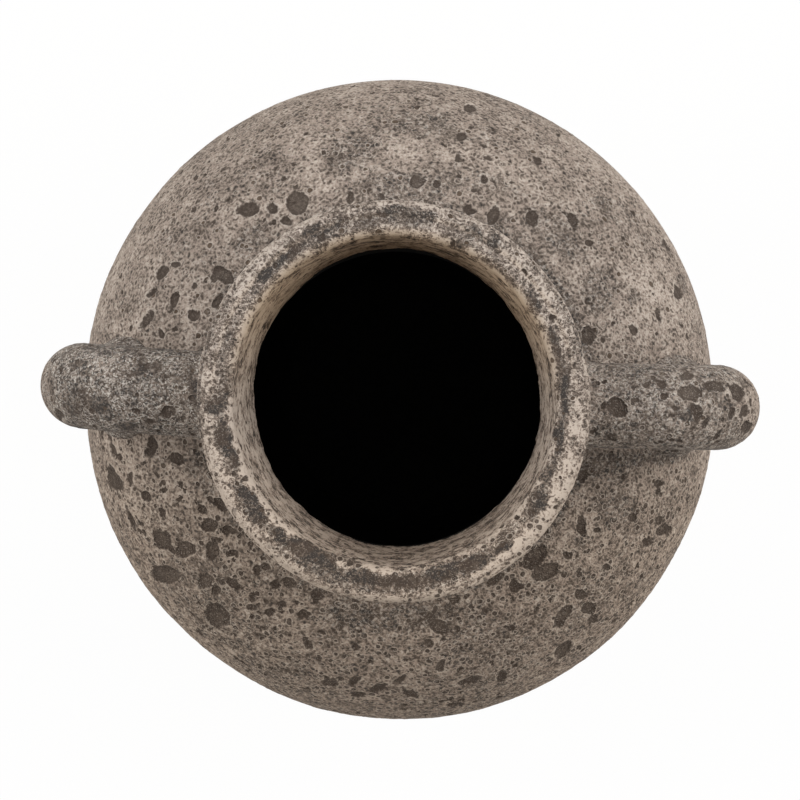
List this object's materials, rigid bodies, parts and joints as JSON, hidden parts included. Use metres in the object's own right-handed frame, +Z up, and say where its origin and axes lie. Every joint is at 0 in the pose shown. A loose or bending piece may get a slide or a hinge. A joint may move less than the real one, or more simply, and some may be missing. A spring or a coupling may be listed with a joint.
{
  "type": "terracotta vase",
  "caption": "Round-bellied terracotta vase with a wide neck, a rolled rim and coil handles from neck to shoulder, sealed dark inside.",
  "frame": {"origin": "centre of the foot, on the surface that the vase stands on", "axes": "+Z up along the vase's axis; the handles lie along +X and -X"},
  "size_m": [0.272, 0.26, 0.3],
  "materials": {
    "terracotta": "matte, pitted, weathered beige slip over dark clay",
    "sealant": "matte black waterproof coat"
  },
  "bodies": {
    "root": {"base_slab": "terracotta", "lower_body": "terracotta", "upper_body": "terracotta", "neck": "terracotta", "rim": "terracotta", "left_handle": "terracotta", "right_handle": "terracotta", "inner_lining": "sealant"}
  },
  "joints": []
}
